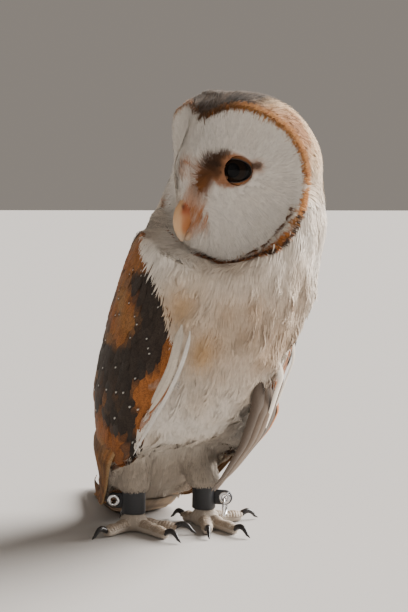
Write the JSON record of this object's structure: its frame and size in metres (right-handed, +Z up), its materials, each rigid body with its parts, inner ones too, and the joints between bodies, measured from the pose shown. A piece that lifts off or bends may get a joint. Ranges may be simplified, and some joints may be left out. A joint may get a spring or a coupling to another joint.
{
  "type": "barn owl",
  "caption": "Life-size still model of a standing barn owl, wings folded and head turned over its right shoulder, with leather anklets, steel eyelets and a ring.",
  "frame": {"origin": "on the floor under the middle of the owl's overall box, which is just behind and between its feet", "axes": "+Z up; the breast faces -Y and the tail points to +Y; +X is the owl's left side"},
  "size_m": [0.1192, 0.2162, 0.2559],
  "materials": {
    "white_plumage": "soft white and cream feathers, buff over the breast",
    "golden_plumage": "golden-brown feathers with grey vermiculation, dark bars and white drop spots",
    "bill": "pinkish horn with a soft shine, redder at the cere",
    "eye": "wet black gloss",
    "toe_skin": "scaly bare skin with sparse pale bristles",
    "claw": "black horn with a dull shine",
    "anklet_leather": "black leather, waxed, slightly worn at its edges",
    "steel": "bright steel"
  },
  "bodies": {
    "root": {"head": "white_plumage", "eye_left": "eye", "eye_right": "eye", "bill_upper": "bill", "bill_lower": "bill", "neck": "white_plumage", "trunk": "white_plumage", "tail": "golden_plumage", "wing_left": "golden_plumage", "wing_right": "golden_plumage", "leg_left": "white_plumage", "leg_right": "white_plumage", "foot_left": "toe_skin", "foot_right": "toe_skin", "claw_left_inner": "claw", "claw_left_middle": "claw", "claw_left_outer": "claw", "claw_left_hind": "claw", "claw_right_inner": "claw", "claw_right_middle": "claw", "claw_right_outer": "claw", "claw_right_hind": "claw", "anklet_left": "anklet_leather", "anklet_right": "anklet_leather", "eyelet_left": "steel", "eyelet_right": "steel", "ring_left": "steel"}
  },
  "joints": []
}
